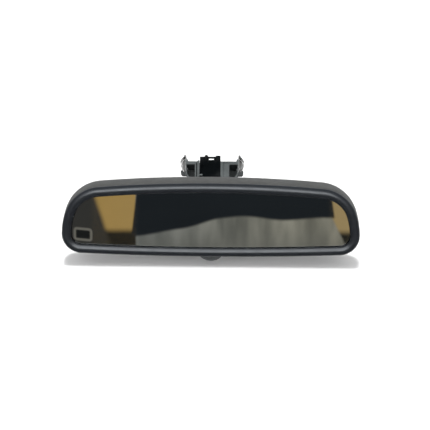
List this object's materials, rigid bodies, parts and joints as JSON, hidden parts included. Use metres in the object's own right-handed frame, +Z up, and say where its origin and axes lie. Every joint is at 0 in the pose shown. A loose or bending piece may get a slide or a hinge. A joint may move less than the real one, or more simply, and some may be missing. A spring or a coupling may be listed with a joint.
{
  "type": "interior rearview mirror",
  "caption": "Car interior rearview mirror: framed wedge glass in a domed head with a day/night tab, on a ball joint and arm from a clip-in foot with a plug socket.",
  "frame": {"origin": "centre of the foot's flat seat face, where it meets the windscreen bracket", "axes": "+Z up; the glass faces -Y, towards the driver; +Y points to the front of the car; +X is to the driver's right as seen facing the glass. The foot's seat leans 30 degrees, its outward normal being (0, 0.5, 0.866)."},
  "size_m": [0.2486, 0.0858, 0.0785],
  "materials": {
    "bracket_grey": "moulded grey nylon, satin, fine parting marks",
    "arm_black": "die-cast metal with satin black paint",
    "ball_steel": "turned and polished steel",
    "screw_steel": "zinc-plated steel",
    "connector_black": "black moulded connector plastic",
    "terminal_brass": "tin-flashed brass",
    "board_green": "green circuit board",
    "component_black": "black epoxy parts",
    "led_red": "clear red epoxy",
    "lens_red": "clear red lens",
    "clip_steel": "spring steel, dull",
    "rivet_metal": "plain aluminium",
    "cup_acetal": "natural acetal",
    "socket_black": "glass-filled black nylon",
    "spring_steel": "spring steel",
    "bezel_black": "black satin plastic, faint blue sheen",
    "housing_charcoal": "fine-grained charcoal plastic",
    "frame_black": "plain black plastic",
    "glass_clear": "clear float glass wedge",
    "mirror_coat": "silvered back surface",
    "foam_dark": "closed-cell adhesive foam",
    "pin_steel": "ground steel pin",
    "lever_black": "satin black plastic"
  },
  "bodies": {
    "foot": {"foot_bracket": "bracket_grey", "stem_arm": "arm_black", "ball_stud": "ball_steel", "stem_screws": "screw_steel", "connector_housing": "connector_black", "connector_terminals": "terminal_brass", "led_board": "board_green", "board_components": "component_black", "status_led": "led_red", "led_lens": "lens_red", "left_clip_plate": "clip_steel", "right_clip_plate": "clip_steel", "clip_rivets": "rivet_metal"},
    "clip_left": {"left_clip_leaf": "clip_steel"},
    "clip_right": {"right_clip_leaf": "clip_steel"},
    "cup_rear": {"ball_cup_rear": "cup_acetal"},
    "cup_front": {"ball_cup_front": "cup_acetal"},
    "socket": {"toggle_bracket": "socket_black", "socket_clamp": "socket_black", "clamp_screws": "screw_steel", "pressure_spring": "spring_steel"},
    "head": {"bezel": "bezel_black", "rear_housing": "housing_charcoal", "inner_frame": "frame_black", "prism_glass": "glass_clear", "reflective_coating": "mirror_coat", "foam_pad": "foam_dark", "frame_screws": "screw_steel", "flip_hinge_pin": "pin_steel", "lever_pin": "pin_steel", "detent_spring": "spring_steel"},
    "lever": {"day_night_lever": "lever_black"}
  },
  "joints": [
    {"name": "clip_left_flex", "type": "hinge", "parent": "foot", "child": "clip_left", "pos_m": [-0.02375, -0.00474, 0.00978], "axis": [0, -0.866, 0.5], "range_deg": [0, 5], "stiffness_Nm_per_rad": 0.5},
    {"name": "clip_right_flex", "type": "hinge", "parent": "foot", "child": "clip_right", "pos_m": [0.02375, -0.00474, 0.00978], "axis": [0, 0.866, -0.5], "range_deg": [0, 5], "stiffness_Nm_per_rad": 0.5},
    {"name": "head_yaw", "type": "hinge", "parent": "foot", "child": "cup_rear", "pos_m": [0, -0.0556, -0.0258], "axis": [0, 0, 1], "range_deg": [-20, 20]},
    {"name": "head_roll", "type": "hinge", "parent": "cup_rear", "child": "cup_front", "pos_m": [0, -0.0556, -0.0258], "axis": [0, 1, 0], "range_deg": [-8, 8]},
    {"name": "head_pitch", "type": "hinge", "parent": "cup_front", "child": "socket", "pos_m": [0, -0.0556, -0.0258], "axis": [1, 0, 0], "range_deg": [-15, 15]},
    {"name": "night_flip", "type": "hinge", "parent": "socket", "child": "head", "pos_m": [0, -0.0586, -0.0088], "axis": [-1, 0, 0], "range_deg": [0, 4.5]},
    {"name": "lever_swing", "type": "hinge", "parent": "head", "child": "lever", "pos_m": [0, -0.0636, -0.0504], "axis": [-1, 0, 0], "range_deg": [0, 28.3]}
  ],
  "couplings": [
    {"joint": "lever_swing", "follows": "night_flip", "ratio": 6.268}
  ]
}
